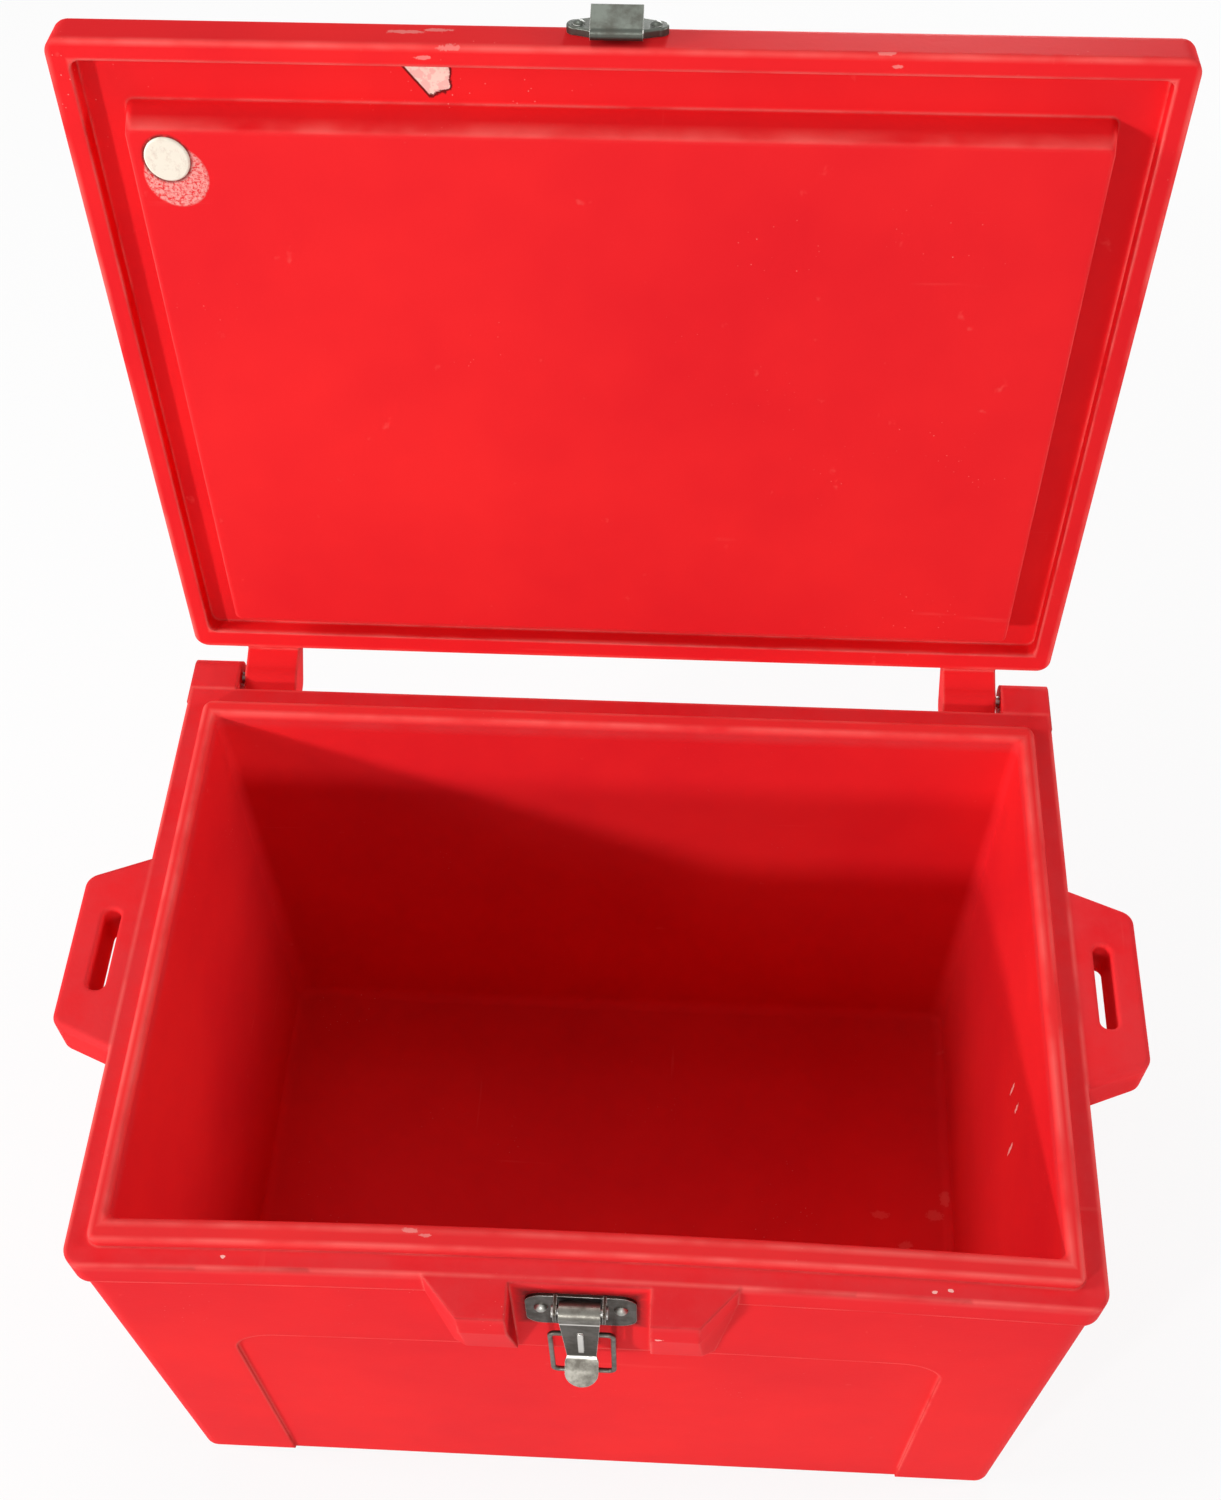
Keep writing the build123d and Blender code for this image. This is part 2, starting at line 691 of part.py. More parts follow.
def keeper_plate():
    plate = extrude(keeper_outline(0), amount=keeper_stand, dir=(0, -1, 0))
    face_edges = plate.edges().filter_by_position(Axis.Y, keeper_face_y - 0.05, keeper_face_y + 0.05)
    plate = fillet(face_edges, keeper_edge_round)
    plate = plate - extrude(keeper_outline(sheet), amount=keeper_stand - sheet, dir=(0, -1, 0))
    floor = lid_bottom + hook_drop + sheet / 2
    back = keeper_face_y + sheet / 2
    side_view = Plane(origin=(-hook_half_width, 0, 0), x_dir=(0, 1, 0), z_dir=(1, 0, 0))
    centre = FilletPolyline((back, keeper_z), (back, floor), (-half_depth - hook_floor_reach, floor),
                            (-half_depth - hook_tip_reach, lid_bottom + hook_tip_level),
                            radius=hook_bend)
    plate = plate + extrude(side_view * trace(centre, line_width=sheet), amount=2 * hook_half_width)
    for x in (-keeper_rivet_x, keeper_rivet_x):
        plate = plate - cylinder_y(keeper_shank_radius + rivet_fit, x, keeper_face_y - 1,
                                   -half_depth + 1, keeper_z)
    return plate


def keeper_rivet(side):
    rivet = domed_rivet(keeper_rivet_radius, keeper_rivet_height, keeper_shank_radius,
                        keeper_shank + keeper_stand)
    return Pos(side * keeper_rivet_x, keeper_face_y, keeper_z) * rivet


def keeper_washer(side):
    return washer(keeper_washer_radius, keeper_shank_radius + rivet_fit, side * keeper_rivet_x,
                  -half_depth + washer_bed, keeper_z)


# ---------------------------------------------------------------- write the pieces
pieces = {
    "body_shell": body_shell(),
    "body_foam_core": body_foam(),
    "body_fill_plug": body_filler(),
    "hinge_pin_left": hinge_pin(-1),
    "hinge_pin_right": hinge_pin(1),
    "latch_base_plate": latch_base_plate(),
    "latch_pivot_pin": latch_pivot_pin(),
    "latch_rivet_left": latch_rivet(-1),
    "latch_rivet_right": latch_rivet(1),
    "latch_washer_left": latch_washer(-1),
    "latch_washer_right": latch_washer(1),
    "latch_lever": latch_lever(),
    "latch_bail": latch_bail(),
    "lid_shell": opened(lid_shell()),
    "lid_foam_core": opened(lid_foam()),
    "lid_fill_plug": opened(lid_filler()),
    "keeper_plate": opened(keeper_plate()),
    "keeper_rivet_left": opened(keeper_rivet(-1)),
    "keeper_rivet_right": opened(keeper_rivet(1)),
    "keeper_washer_left": opened(keeper_washer(-1)),
    "keeper_washer_right": opened(keeper_washer(1)),
}

for name, piece in pieces.items():
    export_step(piece, f"parts/{name}.step")
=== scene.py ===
# %% [markdown]
# # A red specimen transport box
# The real box is two hollow mouldings of red polyethylene, a tub and a lid, each filled with
# foam.  A moulded pin hinge joins them at the back, and a steel toggle latch holds them at the
# front.  The solids come ready made from the packed model.  This lesson gives them finishes,
# light and a camera, and adds the small surface things that only a picture needs.

import math

import bpy
from mathutils import Matrix, Vector


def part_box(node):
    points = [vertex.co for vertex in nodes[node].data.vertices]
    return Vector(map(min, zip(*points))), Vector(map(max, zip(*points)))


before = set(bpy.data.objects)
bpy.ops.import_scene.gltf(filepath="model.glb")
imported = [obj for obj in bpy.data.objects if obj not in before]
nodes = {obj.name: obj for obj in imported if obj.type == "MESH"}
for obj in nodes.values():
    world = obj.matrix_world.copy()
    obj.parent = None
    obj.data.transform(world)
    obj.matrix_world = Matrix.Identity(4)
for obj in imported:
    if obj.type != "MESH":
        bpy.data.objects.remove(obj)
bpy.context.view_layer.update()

# %% [markdown]
# ## Places on the box
# Everything is measured in metres from the middle of the tub's underside.  The hinge line is
# the one place that both mouldings share, so the lid's own marks are written as they lie when
# the lid is shut, and turned up about that line.

# %% Places and sizes
MM = 0.001
FLANGE_TOP = 290 * MM
HINGE_Y = 179 * MM
HINGE_Z = 281 * MM
LID_ANGLE = math.radians(95.5)
HALF_WIDTH = 230 * MM
LIP_PLANE = 290.3 * MM
PLUG_FACE = LIP_PLANE - 10.3 * MM
print("hinge line at", HINGE_Y, HINGE_Z, "and lid turned", round(math.degrees(LID_ANGLE), 1))

# %% [markdown]
# ## Arithmetic on shader wires
# A finish is a small calculation: how worn, how dusty, how rough is this point?  Written with
# bare nodes that is hard to read.  A thin wrapper round a node's output lets the same thing be
# written as a sum, and the wrapper adds the Math nodes.

# %% A wire that can be added and scaled
class Wire:
    """A node's output that takes part in sums like a number."""

    def __init__(self, graph, socket):
        self.graph = graph
        self.socket = socket

    def math(self, operation, *values):
        return self.graph.node("ShaderNodeMath", {"operation": operation},
                               dict(enumerate(values)))

    def __add__(self, other):
        return self.math("ADD", self, other)

    def __sub__(self, other):
        return self.math("SUBTRACT", self, other)

    def __rsub__(self, other):
        return self.math("SUBTRACT", other, self)

    def __mul__(self, other):
        return self.math("MULTIPLY", self, other)

    def __truediv__(self, other):
        return self.math("DIVIDE", self, other)

    def __pow__(self, other):
        return self.math("POWER", self, other)

    def __abs__(self):
        return self.math("ABSOLUTE", self)

    def __gt__(self, other):
        return self.math("GREATER_THAN", self, other)

    def larger(self, other):
        return self.math("MAXIMUM", self, other)

    def smaller(self, other):
        return self.math("MINIMUM", self, other)

    def ramp(self, low, high):
        """0 below low, 1 above high, and a straight slope between."""
        return self.graph.node("ShaderNodeMapRange", {"clamp": True},
                               {"Value": self, "From Min": low, "From Max": high})

    __radd__ = __add__


print("a wire knows:", [name for name in vars(Wire) if callable(getattr(Wire, name))])

# %% [markdown]
# ## Adding nodes
# Materials and the white surround are both trees of nodes.  One method adds any node: its
# settings are made first, and then its sockets get their values or wires.

# %% A graph of nodes
SEEN_RAYS = ("Is Camera Ray", "Is Glossy Ray", "Is Transmission Ray")


class Graph:
    """A node tree, and the one way to add to it."""

    def __init__(self, tree):
        self.tree = tree

    def put(self, socket, value):
        if isinstance(value, Wire):
            self.tree.links.new(value.socket, socket)
        else:
            socket.default_value = value

    def node(self, kind, settings, inputs, output=0):
        node = self.tree.nodes.new(kind)
        for key, value in settings.items():
            setattr(node, key, value)
        for key, value in inputs.items():
            self.put(node.inputs[key], value)
        return Wire(self, node.outputs[output])

    def shown(self):
        """1 for what is seen directly, in a reflection or through a clear thing."""
        direct, reflected, through = (self.node("ShaderNodeLightPath", {}, {}, ray)
                                      for ray in SEEN_RAYS)
        return direct.larger(reflected).larger(through)


print("rays that count as seen:", SEEN_RAYS)

# %% [markdown]
# ## A finish
# Each finish is one material with one Principled shader.  Constants go straight on the
# shader's sockets, and only what varies over the surface is wired.  Its methods are the small
# patterns that wear and painted light are made of: cloudy noise, specks, torn patches, and
# edges and outlines painted pale, for wear and as painted highlights.

# %% A finish and its patterns
PATCH_FADE = (0.3, 1.5)
TORN_BY = 1.6
TORN_BORDER = (0.50, 0.64)
TORN_REACH = (0.0, 0.3)
EDGE_FADE = (0.01, 0.16)


class Finish(Graph):
    """A material that is built up from wires."""

    def __init__(self, name, **sockets):
        self.material = bpy.data.materials.new(name)
        self.material.use_nodes = True
        super().__init__(self.material.node_tree)
        self.shader = self.tree.nodes["Principled BSDF"]
        self.wire(**sockets)
        self.point = self.node("ShaderNodeTexCoord", {}, {}, "Object")

    def vector(self, operation, *values, output=0):
        return self.node("ShaderNodeVectorMath", {"operation": operation},
                         dict(enumerate(values)), output)

    def axes(self, point):
        parts = self.node("ShaderNodeSeparateXYZ", {}, {"Vector": point}).socket.node
        return [Wire(self, output) for output in parts.outputs]

    def noise(self, scale, detail=2.0, roughness=0.5, point=None, stretch=(1, 1, 1)):
        place = self.vector("MULTIPLY", point or self.point, stretch)
        return self.node("ShaderNodeTexNoise", {},
                         {"Vector": place, "Scale": scale, "Detail": detail,
                          "Roughness": roughness})

    def cells(self, scale):
        """How far a point is from the middle of its cell."""
        return self.node("ShaderNodeTexVoronoi", {}, {"Vector": self.point, "Scale": scale},
                         "Distance")

    def specks(self, scale, size):
        """Scattered dots: 1 in each dot, with size as a share of the spacing."""
        return 1 - self.cells(scale).ramp(size * 0.6, size)

    def mix(self, amount, first, second):
        factor, start, end, result = 0, 6, 7, 2
        return self.node("ShaderNodeMix", {"data_type": "RGBA"},
                         {factor: amount, start: first, end: second}, result)

    def patch(self, centre, radii, point=None):
        """1 at a place, falling to 0 round an ellipsoid; centre and radii are in millimetres."""
        offset = self.vector("SUBTRACT", point or self.point, tuple(v * MM for v in centre))
        scaled = self.vector("DIVIDE", offset, tuple(v * MM for v in radii))
        return 1 - self.vector("LENGTH", scaled, output="Value").ramp(*PATCH_FADE)

    def scrapes(self, marks, point=None):
        """Ragged patches: each falls off into noise, so that its border is torn."""
        near = None
        for centre, radii in marks:
            patch = self.patch(centre, radii, point)
            near = patch if near is None else near.larger(patch)
        torn = self.noise(420, 4, 0.75, point) - 0.5
        return (near + torn * TORN_BY).ramp(*TORN_BORDER) * near.ramp(*TORN_REACH)

    def edge(self, radius):
        """The rounded normal of an edge, and how near the edge is, which carries wear and painted
        highlights.
        """
        rounded = self.node("ShaderNodeBevel", {"samples": 6}, {"Radius": radius})
        flat = self.node("ShaderNodeNewGeometry", {}, {}, "Normal")
        alike = self.vector("DOT_PRODUCT", rounded, flat, output="Value")
        return rounded, (1 - alike).ramp(*EDGE_FADE)

    def frame_lines(self, lines, x, y):
        """1 on the outlines of rectangles seen from above: half width, front, rear, line width."""
        found = None
        for half_x, front, rear, width in lines:
            middle, half_y = (front + rear) / 2 * MM, (rear - front) / 2 * MM
            outward = (abs(x) - half_x * MM).larger(abs(y - middle) - half_y)
            line = 1 - abs(outward).ramp(0.0, width * MM)
            found = line if found is None else found.larger(line)
        return found

    def bump(self, height, distance, strength, normal=None):
        inputs = {"Height": height, "Distance": distance, "Strength": strength}
        if normal is not None:
            inputs["Normal"] = normal
        return self.node("ShaderNodeBump", {}, inputs)

    def wire(self, **sockets):
        for socket, value in sockets.items():
            self.put(self.shader.inputs[socket.replace("_", " ")], value)
        return self.material


def rgb(red, green, blue):
    return (red, green, blue, 1.0)


print("finish patterns:", [name for name in vars(Finish) if not name.startswith("_")])

# %% [markdown]
# ## Red moulded polyethylene
# The powder melts against a sand-blasted mould, so the skin is satin with a faint orange peel.
# The raised edges are painted pale, as scuffs and as the highlights they catch, and use leaves
# thin scratches and a little dust.  One function makes the plastic, and the tub and the lid each
# add their own marks to it.

# %% The plastic
RED = rgb(0.84, 0.022, 0.024)
RED_DEEP = rgb(0.73, 0.015, 0.021)
RED_FLANGE_TONE = rgb(0.72, 0.040, 0.045)
RED_WEAR_AND_HIGHLIGHT = rgb(0.95, 0.17, 0.15)
PALE = rgb(0.95, 0.58, 0.52)
# A dark red for painted shade round the latch plate and along the chip's broken edge, and for the
# dark band round the lid's plug.
DARK_RED = rgb(0.16, 0.012, 0.012)
EDGE_ROUND = 2.4 * MM
PEEL_HEIGHT = 0.35 * MM
SATIN = 0.46
EDGE_WEAR_AND_HIGHLIGHT, SCRATCHED, DUSTED = 0.75, 0.22, 0.35
ALONG_X = (0.07, 1, 1)
ALONG_Y = (1, 0.08, 0.9)


def plastic(name, marks):
    finish = Finish(name, IOR=1.5, Specular_IOR_Level=0.02)
    rounded, nearness = finish.edge(EDGE_ROUND)
    cloud = finish.noise(5, 4, 0.6)
    peel = finish.noise(420, 2, 0.5)
    ripple = finish.noise(38, 2, 0.5)
    patchy = finish.noise(26, 3, 0.7)
    scratches = finish.noise(90, 3, 0.6, stretch=ALONG_Y).ramp(0.70, 0.78)
    scratches = scratches.larger(finish.noise(80, 3, 0.6, stretch=ALONG_X).ramp(0.71, 0.79))
    dust = finish.specks(260, 0.09) * finish.noise(14, 2).ramp(0.58, 0.70)
    colour = finish.mix(cloud.ramp(0.35, 0.65), RED_DEEP, RED)
    # Edges are painted pale in patches: wear, and a painted highlight along them.
    colour = finish.mix(nearness * patchy.ramp(0.30, 0.55) * EDGE_WEAR_AND_HIGHLIGHT, colour, RED_WEAR_AND_HIGHLIGHT)
    colour = finish.mix(scratches * SCRATCHED, colour, RED_WEAR_AND_HIGHLIGHT)
    colour = finish.mix(dust * DUSTED, colour, PALE)
    rough = SATIN + cloud * 0.10 + scratches * 0.08 + nearness * 0.06
    height = peel * 0.35 + ripple * 0.9
    colour, rough, height = marks(finish, colour, rough, height)
    normal = finish.bump(height, PEEL_HEIGHT, 0.5, rounded)
    return finish.wire(Base_Color=colour, Roughness=rough, Normal=normal)


print("worn edges are", EDGE_ROUND / MM, "mm wide")

# %% [markdown]
# ## Marks on the tub
# The front rim is rubbed where the lid drags on it, and the right inner wall and the floor's
# corner carry pale scrapes from things that were pushed in.  The red round the latch's plate is
# darkened with painted shade, which also stands for grime.  Each scrape is written as a place
# and three radii, in millimetres.

# %% Where the tub is scraped
RIM_NICKS = [
    ((-76, -143, 295), (4, 1.5, 2)),
    ((-69, -145, 295), (3, 1, 2)),
]
TUB_MARKS = [
    ((154, -159, 290), (1.5, 1, 1)),
    ((161, -158, 290), (1.5, 1, 1)),
    ((-158, -157, 290), (1.2, 1, 1)),
    ((36, -179, 274), (4, 2, 1.5)),
    ((211, -18, 211), (2, 1.2, 7)),
    ((211, -32, 217), (2, 1.2, 6)),
    ((211, -44, 195), (2, 1.2, 9)),
]
FLOOR_MARKS = [
    ((200, -4, 12), (6, 4, 3)),
    ((207, 7, 13), (4, 6, 3)),
    ((182, -24, 12), (5, 3, 3)),
    ((167, -5, 12), (6, 3, 3)),
]
print("tub marks:", len(RIM_NICKS) + len(TUB_MARKS) + len(FLOOR_MARKS))

# %% Where the tub gets painted highlight lines, and painted shade round the latch plate
FRONT_BOW = 3.5 * MM
# Outlines where pale lines are painted on the rim and flange, as wear and as painted highlights:
# half width, front, rear, line width.
RIM_HIGHLIGHT_LINES = [
    (218.0, -153.5, 151.0, 1.8),
    (213.5, -146.0, 144.0, 2.4),
]
FLANGE_HIGHLIGHT_LINES = [(229.0, -164.0, 164.0, 1.6)]
PLATE_LOW, PLATE_HIGH = (Vector(corner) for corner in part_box("latch_base_plate"))
PLATE_MIDDLE = (PLATE_LOW + PLATE_HIGH) / 2
PLATE_HALF = (PLATE_HIGH - PLATE_LOW) / 2
PLATE_BACK = PLATE_HIGH.y
# How far the painted shade round the latch plate reaches.
PLATE_SHADE_WIDTH = 5.5 * MM
print("dirt lies round a plate", [round(2 * half / MM, 1) for half in PLATE_HALF], "mm in size")

# %% The tub's plastic
RIM_WORN_AND_LIT, FLANGE_TONED, RUBBED_AND_HIGHLIT = 0.10, 0.80, 0.55
SCRAPED, SCUFFED, PLATE_SHADED_AND_GRIMED = 0.80, 0.30, 0.95


def tub_marks(finish, colour, rough, height):
    x, y, z = finish.axes(finish.point)
    bow = (1 - (x / HALF_WIDTH) ** 2) * FRONT_BOW * (1 - (y > 0))
    on_flange = z.ramp(FLANGE_TOP - 6 * MM, FLANGE_TOP - 1 * MM)
    on_rim = z.ramp(FLANGE_TOP + 1.5 * MM, FLANGE_TOP + 4 * MM)
    # The flange top below the rim gets a darker, duller red in noisy patches.
    flange_tone = on_flange * (1 - on_rim) * finish.noise(30, 4, 0.7).ramp(0.2, 0.6)
    colour = finish.mix(flange_tone * FLANGE_TONED, colour, RED_FLANGE_TONE)
    # Pale lines along the rim's and flange's outlines, as wear and as painted highlights.
    rubbed_and_highlit = finish.frame_lines(RIM_HIGHLIGHT_LINES, x, y - bow) * on_rim
    rubbed_and_highlit = rubbed_and_highlit.larger(finish.frame_lines(FLANGE_HIGHLIGHT_LINES, x, y - bow) * on_flange)
    streaky = finish.noise(24, 3, 0.6).ramp(0.30, 0.60)
    # The whole rim top is lightened a little, as wear and as a painted highlight on its rounded
    # top.
    colour = finish.mix(on_rim * RIM_WORN_AND_LIT, colour, RED_WEAR_AND_HIGHLIGHT)
    colour = finish.mix(rubbed_and_highlit * streaky * RUBBED_AND_HIGHLIT, colour, RED_WEAR_AND_HIGHLIGHT)
    scraped = finish.scrapes(TUB_MARKS)
    colour = finish.mix(finish.scrapes(FLOOR_MARKS) * SCUFFED, colour, RED_WEAR_AND_HIGHLIGHT)
    colour = finish.mix(finish.scrapes(RIM_NICKS) * SCUFFED, colour, PALE)
    colour = finish.mix(scraped * SCRAPED, colour, PALE)
    # Painted contact shade round the latch plate, which also stands for grime, darkens the red
    # there.
    beside = (abs(x - PLATE_MIDDLE.x) - PLATE_HALF.x).larger(abs(z - PLATE_MIDDLE.z) - PLATE_HALF.z)
    behind = 1 - abs(y - PLATE_BACK).ramp(2 * MM, 4 * MM)
    plate_shade_and_grime = (1 - beside.ramp(0, PLATE_SHADE_WIDTH)) * behind * finish.noise(160, 4, 0.7).ramp(0.15, 0.5)
    colour = finish.mix(plate_shade_and_grime * PLATE_SHADED_AND_GRIMED, colour, DARK_RED)
    return colour, rough + scraped * 0.2, height - scraped * 0.4


red_tub = plastic("red_polyethylene_tub", tub_marks)
print(red_tub.name, "has", len(red_tub.node_tree.nodes), "nodes")

# %% [markdown]
# ## Marks on the lid
# The filling plug sits in a pale ring of old sealant, there is a chip in the channel where the
# foam shows, and the lip is nicked where it meets the latch side.  The lid's points are turned
# down about the hinge first, so that its marks stay with it at every angle.

# %% Where the lid is nicked, and its painted highlight lines
LID_NICKS = [
    ((-85, -165, 301), (9, 1.5, 1.8)),
    ((-72, -165, 303), (7, 1.5, 1.5)),
    ((-66, -164, 291), (6, 1.2, 1.8)),
    ((-77, -160, 290), (4, 1, 1.2)),
    ((106, -165, 291), (4, 1.2, 1.2)),
    ((111, -160, 290), (2.5, 1, 1.2)),
]
LIP_HIGHLIGHT_LINES = [
    (229.0, -164.0, 164.0, 2.0),
    (220.5, -156.2, 153.6, 1.4),
    (201.5, -133.8, 135.2, 1.2),
]
print("lid marks:", len(LID_NICKS))

# %% The plug, its ring and the chip
PLUG_PLACE = Vector((-185.5 * MM, -121 * MM, PLUG_FACE))
PLUG_RADIUS = 9.5 * MM
RING_PLACE = Vector((-183 * MM, -113.5 * MM, PLUG_FACE))
RING_RADIUS = 13.6 * MM
RING_PINK = rgb(0.88, 0.42, 0.38)
CHIP_PINK = rgb(0.88, 0.52, 0.46)
FOAM_CREAM = rgb(0.88, 0.70, 0.60)
CHIP = [(-86.8, -152.3), (-76.9, -140.2), (-68.5, -143.2), (-67.8, -152.3)]
CHIP_SHADE_RIM = [(-88.8, -153.1), (-77.2, -138.9), (-67.5, -142.3), (-66.8, -153.1)]
CHANNEL_LOW, CHANNEL_HIGH = 298 * MM, 304 * MM


def inside(finish, corners, x, y, soft):
    """1 inside a convex outline whose corners run clockwise, with an edge of width soft."""
    mask = None
    for (ax, ay), (bx, by) in zip(corners, corners[1:] + corners[:1]):
        length = math.hypot(bx - ax, by - ay)
        nx, ny = (by - ay) / length, -(bx - ax) / length
        depth = (x - ax * MM) * nx + (y - ay * MM) * ny
        side = depth.ramp(0.0, soft)
        mask = side if mask is None else mask.smaller(side)
    return mask


print("the chip has", len(CHIP), "corners")

# %% The lid's plastic
RINGED, PLUG_OUTLINE_DARKENED, LIP_RUBBED_AND_HIGHLIT = 0.8, 0.8, 0.6
CHIP_TEAR = 3 * MM


def lid_marks(finish, colour, rough, height):
    shut = finish.node("ShaderNodeVectorRotate", {"rotation_type": "X_AXIS"},
                       {"Vector": finish.point, "Center": (0, HINGE_Y, HINGE_Z),
                        "Angle": LID_ANGLE})
    x, y, z = finish.axes(shut)
    colour = finish.mix(finish.scrapes(LID_NICKS, shut) * SCUFFED, colour, PALE)
    on_face = 1 - abs(z - PLUG_FACE).ramp(1 * MM, 2 * MM)
    away = finish.vector("DISTANCE", shut, RING_PLACE, output="Value")
    crumbs = finish.noise(700, 3, 0.8, point=shut).ramp(0.40, 0.54)
    ring = (1 - away.ramp(RING_RADIUS - 0.8 * MM, RING_RADIUS + 0.2 * MM)) * crumbs * on_face
    colour = finish.mix(ring * RINGED, colour, RING_PINK)
    # A thin band right round the plug is darkened.
    beside = finish.vector("DISTANCE", shut, PLUG_PLACE, output="Value") - PLUG_RADIUS
    plug_outline_dark = (1 - beside.ramp(0.5 * MM, 1.5 * MM)) * on_face
    plug_outline_dark = plug_outline_dark * finish.noise(300, 3, 0.7, point=shut).ramp(0.3, 0.5)
    colour = finish.mix(plug_outline_dark * PLUG_OUTLINE_DARKENED, colour, DARK_RED)
    # Pale lines along the lid's lip and plug outlines, as wear and as painted highlights.
    on_lip = 1 - z.ramp(LIP_PLANE + 1 * MM, LIP_PLANE + 3 * MM)
    rubbed_and_highlit = finish.frame_lines(LIP_HIGHLIGHT_LINES, x, y) * on_lip
    rubbed_and_highlit = rubbed_and_highlit * finish.noise(22, 3, 0.6, point=shut).ramp(0.34, 0.62)
    colour = finish.mix(rubbed_and_highlit * LIP_RUBBED_AND_HIGHLIT, colour, RED_WEAR_AND_HIGHLIGHT)
    torn = (finish.noise(350, 3, 0.7, point=shut) - 0.5) * CHIP_TEAR
    deep = z.ramp(CHANNEL_LOW, CHANNEL_LOW + MM) * (1 - z.ramp(CHANNEL_HIGH, CHANNEL_HIGH + MM))
    chip = inside(finish, CHIP, x + torn, y + torn, 0.3 * MM) * deep
    # A dark rim round the chip is painted shade along its broken edge.
    chip_edge_shade = inside(finish, CHIP_SHADE_RIM, x + torn, y + torn, 0.5 * MM) * deep
    colour = finish.mix(chip_edge_shade, colour, DARK_RED)
    broken = finish.noise(180, 3, 0.7, point=shut).ramp(0.47, 0.53)
    colour = finish.mix(chip, colour, finish.mix(broken, FOAM_CREAM, CHIP_PINK))
    return colour, rough + chip * 0.3, height - chip * 3 + ring * 0.6


red_lid = plastic("red_polyethylene_lid", lid_marks)
print(red_lid.name, "has", len(red_lid.node_tree.nodes), "nodes")

# %% [markdown]
# ## Pressed stainless steel
# The latch is pressed from thin sheet.  The rollers leave fine lines, and use has left dull,
# brownish patches.  Edges are painted bright, for polish and as painted highlights.

# %% The latch's steel
STEEL_DULL = rgb(0.055, 0.045, 0.036)
STEEL_POLISH_AND_HIGHLIGHT = rgb(0.80, 0.78, 0.74)
ROLLED = (1, 0.1, 0.1)
LINE_DEPTH = 0.05 * MM
POLISH_AND_HIGHLIGHT = 0.85


def steel(name, tone, grime, edge_round=0.35 * MM, light_and_wear=None):
    finish = Finish(name, Metallic=1.0)
    rounded, nearness = finish.edge(edge_round)
    lines = finish.noise(900, 2, 0.6, stretch=ROLLED)
    stain = finish.noise(110, 4, 0.7).ramp(0.40, 0.66) * grime
    colour = finish.mix(stain, tone, STEEL_DULL)
    if light_and_wear is not None:
        colour = light_and_wear(finish, colour)
    # Edges are painted bright, for polish and as painted highlights.
    colour = finish.mix(nearness * POLISH_AND_HIGHLIGHT, colour, STEEL_POLISH_AND_HIGHLIGHT)
    rough = 0.34 + stain * 0.25 + lines * 0.10
    normal = finish.bump(lines, LINE_DEPTH, 0.4, rounded)
    return finish.wire(Base_Color=colour, Roughness=rough, Normal=normal)


print("rolling lines are", LINE_DEPTH / MM, "mm deep")

# %% The lever's painted shade and painted highlights
LEVER_BEND = 228 * MM
LEVER_KNUCKLE = 270 * MM
RIB_LOW, RIB_HIGH, RIB_HALF = 235 * MM, 259 * MM, 1.4 * MM
LINE = 0.9 * MM
FACE_SHADED = 0.8


def lever_shade_and_highlights(finish, colour):
    """The lever's face is darkened with painted shade, and its rib, bend and knuckle get painted
    highlights that also stand for polish by fingers.
    """
    x, y, z = finish.axes(finish.point)
    # Painted shade on the lever's face, so that the bent tab below stays lighter.
    shaded_face = z.ramp(LEVER_BEND, LEVER_BEND + LINE) * (1 - z.ramp(LEVER_KNUCKLE, LEVER_KNUCKLE + LINE))
    colour = finish.mix(shaded_face * FACE_SHADED, colour, STEEL_DULL)
    # Painted highlight lines at the bend, the knuckle and the rib, which also stand for polish.
    bend = 1 - abs(z - LEVER_BEND).ramp(0.5 * LINE, 1.5 * LINE)
    knuckle = 1 - abs(z - LEVER_KNUCKLE).ramp(0.3 * LINE, 1.2 * LINE)
    rib = (1 - abs(x).ramp(RIB_HALF - 0.4 * MM, RIB_HALF)) * z.ramp(RIB_LOW, RIB_LOW + LINE)
    rib = rib * (1 - z.ramp(RIB_HIGH, RIB_HIGH + LINE))
    return finish.mix(bend.larger(knuckle).larger(rib) * POLISH_AND_HIGHLIGHT, colour, STEEL_POLISH_AND_HIGHLIGHT)


# %% Six steels
lever_steel = steel("lever_steel", rgb(0.20, 0.19, 0.165), 0.6, light_and_wear=lever_shade_and_highlights)
plate_steel = steel("plate_steel", rgb(0.065, 0.055, 0.045), 0.8)
keeper_steel = steel("keeper_steel", rgb(0.105, 0.115, 0.10), 0.5)
rivet_steel = steel("rivet_steel", rgb(0.50, 0.50, 0.46), 0.5, 0.2 * MM)
wire_steel = steel("wire_steel", rgb(0.17, 0.155, 0.135), 0.7, 0.15 * MM)
pin_steel = steel("pin_steel", rgb(0.40, 0.39, 0.37), 0.4, 0.2 * MM)
print("steels:", [finish.name for finish in (lever_steel, plate_steel, keeper_steel,
                                             rivet_steel, wire_steel, pin_steel)])

# %% [markdown]
# ## Foam and filling plugs
# The foam is hidden between the skins, but it is a piece of the box and shows when a skin is
# cut, so it has its cells.  The plugs are natural polyethylene, waxy and slightly soiled.

# %% Foam and plugs
def foam():
    finish = Finish("insulating_foam", Specular_IOR_Level=0.2)
    cells = finish.cells(900.0)
    tint = finish.noise(60, 3, 0.6)
    colour = finish.mix(tint.ramp(0.3, 0.7), FOAM_CREAM, rgb(0.72, 0.55, 0.30))
    return finish.wire(Base_Color=colour, Roughness=0.85 + tint * 0.1,
                       Normal=finish.bump(cells, 0.4 * MM, 0.8))


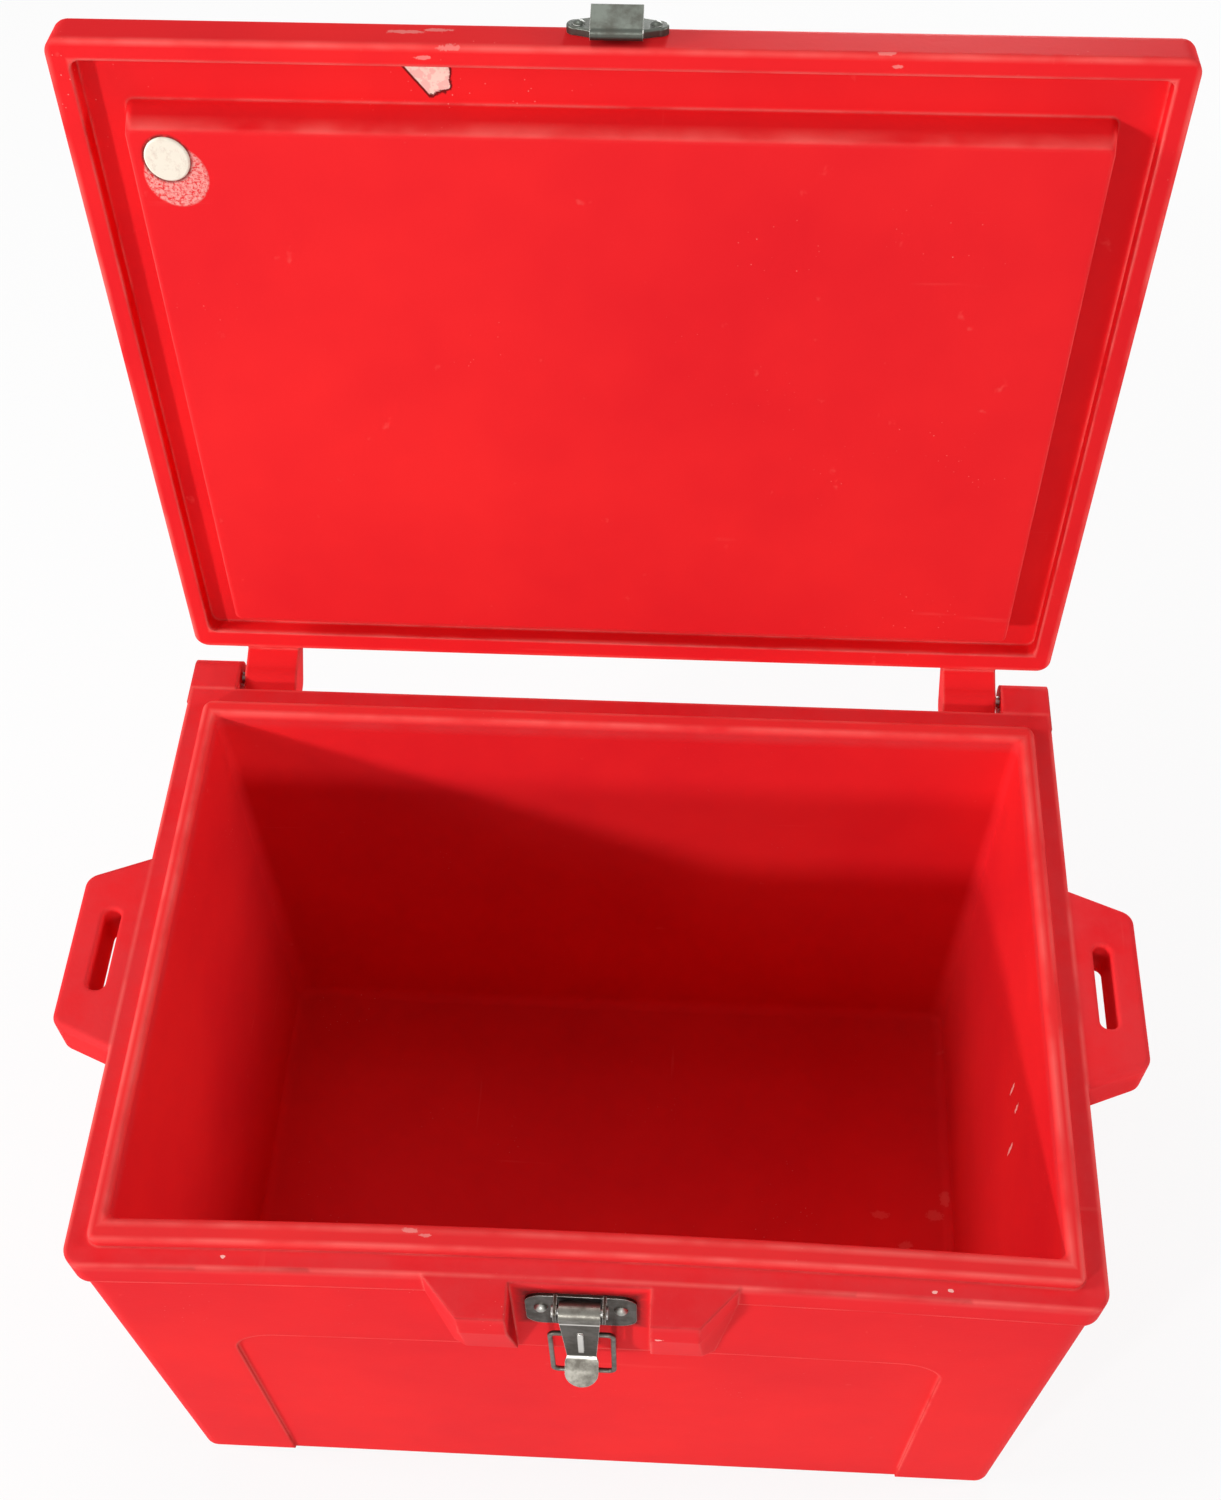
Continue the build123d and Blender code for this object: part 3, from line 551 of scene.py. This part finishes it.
def waxy():
    finish = Finish("white_plug", IOR=1.5)
    rounded, nearness = finish.edge(0.5 * MM)
    soil = finish.noise(260, 4, 0.7).ramp(0.52, 0.75)
    colour = finish.mix(soil * 0.5, rgb(0.80, 0.74, 0.62), rgb(0.58, 0.42, 0.33))
    rough = 0.42 + soil * 0.2 + nearness * 0.1
    return finish.wire(Base_Color=colour, Roughness=rough,
                       Normal=finish.bump(soil, 0.2 * MM, 0.5, rounded))


foam_cream = foam()
white_plug = waxy()
print("fillings:", foam_cream.name, white_plug.name)

# %% [markdown]
# ## Dressing the nodes
# A table from node to finish is all that is needed, because the solids already have the right
# shapes.

# %% Give every node its finish
DRESS = {
    "body_shell": red_tub,
    "lid_shell": red_lid,
    "body_foam_core": foam_cream,
    "lid_foam_core": foam_cream,
    "body_fill_plug": white_plug,
    "lid_fill_plug": white_plug,
    "hinge_pin_left": pin_steel,
    "hinge_pin_right": pin_steel,
    "latch_pivot_pin": pin_steel,
    "latch_base_plate": plate_steel,
    "latch_lever": lever_steel,
    "keeper_plate": keeper_steel,
    "keeper_rivet_left": keeper_steel,
    "keeper_rivet_right": keeper_steel,
    "latch_bail": wire_steel,
}
for name, node in nodes.items():
    finish = DRESS.get(name, rivet_steel)
    for place in node.material_slots:
        place.material = finish
    print(name, "->", finish.name)

# %% [markdown]
# ## The floor
# A pale floor carries the box's shadow.  It is brightened only where it is seen, directly or in
# the steel, and so throws no more light on the box than its own grey does.

# %% The floor
FLOOR_LIFT = 0.88
FLOOR_REACH = 6.0
WHITE = rgb(1.0, 1.0, 1.0)


def floor():
    mesh = bpy.data.meshes.new("floor")
    corners = [(-1, -1), (1, -1), (1, 1), (-1, 1)]
    mesh.from_pydata([(x * FLOOR_REACH, y * FLOOR_REACH, 0) for x, y in corners],
                     [], [(0, 1, 2, 3)])
    plane = bpy.data.objects.new("floor", mesh)
    bpy.context.collection.objects.link(plane)
    finish = Finish("pale_floor", Roughness=0.8, Specular_IOR_Level=0.1)
    colour = finish.mix(finish.noise(3, 2), rgb(0.74, 0.74, 0.74), rgb(0.78, 0.78, 0.78))
    finish.wire(Base_Color=colour)
    glow = finish.node("ShaderNodeEmission", {}, {"Color": WHITE, "Strength": 1.0})
    own = Wire(finish, finish.shader.outputs[0])
    lift = finish.node("ShaderNodeMixShader", {},
                       {0: finish.shown() * FLOOR_LIFT, 1: own, 2: glow})
    finish.put(finish.tree.nodes["Material Output"].inputs["Surface"], lift)
    mesh.materials.append(finish.material)


floor()
print("floor:", 2 * FLOOR_REACH, "m square")

# %% [markdown]
# ## The white surround
# Beyond the floor everything that is seen is plain white.  The light that the surround gives to
# the box is much weaker, so that the lamps shape it.

# %% The surround
AMBIENT = 0.21
world = bpy.data.worlds.new("studio")
bpy.context.scene.world = world
world.use_nodes = True
sky = world.node_tree.nodes["Background"].inputs
surround = Graph(world.node_tree)
surround.put(sky["Color"], WHITE)
surround.put(sky["Strength"], surround.shown() * (1 - AMBIENT) + AMBIENT)
print("surround lights the box at", AMBIENT)

# %% [markdown]
# ## Lamps
# A window light comes low from the front left and a second one from straight ahead, both low
# enough to leave the tub's floor in shade.  Three weak softboxes open the shadows, and one
# behind the lid lights the back.

# %% The lamps
def softbox(name, place, aim, size, watts):
    data = bpy.data.lights.new(name, "AREA")
    data.shape = "DISK"
    data.size = size
    data.energy = watts
    lamp = bpy.data.objects.new(name, data)
    lamp.location = place
    lamp.rotation_euler = (Vector(aim) - Vector(place)).to_track_quat("-Z", "Y").to_euler()
    bpy.context.collection.objects.link(lamp)
    print(name, "lamp:", watts, "W")


softbox("window", (-3.2, -3.2, 1.63), (0.0, 0.0, 0.3), 0.35, 100)
softbox("front", (0.0, -3.4, 0.89), (0.0, 0.0, 0.3), 0.3, 31)
softbox("left", (-1.9, -0.2, 1.2), (0.0, 0.0, 0.25), 0.7, 26)
softbox("right", (2.2, 0.0, 1.15), (0.0, 0.0, 0.25), 0.9, 24)
softbox("top", (-0.3, 0.8, 2.3), (0.0, 0.0, 0.4), 0.8, 8)
softbox("back", (0.5, 3.3, 0.75), (0.0, 0.2, 0.3), 0.9, 55)

# %% [markdown]
# ## The camera
# The box is seen from above the latch, close enough for the tub to taper strongly.  The camera
# is given by where it stands, which way it turns, how far it tips down and how much it leans.
# The three directions of its view are worked out from those and set as its matrix.

# %% The camera
CAMERA_PLACE = (36.5 * MM, -441.8 * MM, 1032.1 * MM)
TURN = math.radians(-3.99)
TIP = math.radians(57.57)
LEAN = math.radians(-1.27)
FOCAL = 42.79
SENSOR = 36
RISE = 0.11

forward = Vector((math.sin(TURN) * math.cos(TIP), math.cos(TURN) * math.cos(TIP), -math.sin(TIP)))
right = Vector((math.cos(TURN), -math.sin(TURN), 0))
up = right.cross(forward)
right_leaned = math.cos(LEAN) * right + math.sin(LEAN) * up
up_leaned = -math.sin(LEAN) * right + math.cos(LEAN) * up
lens = bpy.data.cameras.new("camera")
lens.lens = FOCAL
lens.sensor_width = SENSOR
lens.shift_y = RISE
camera = bpy.data.objects.new("camera", lens)
facing = Matrix((right_leaned, up_leaned, -forward)).transposed()
camera.matrix_world = Matrix.Translation(CAMERA_PLACE) @ facing.to_4x4()
bpy.context.collection.objects.link(camera)
bpy.context.scene.camera = camera
bpy.context.scene.view_settings.view_transform = "Standard"
print("camera at", CAMERA_PLACE, "with a", FOCAL, "mm lens")
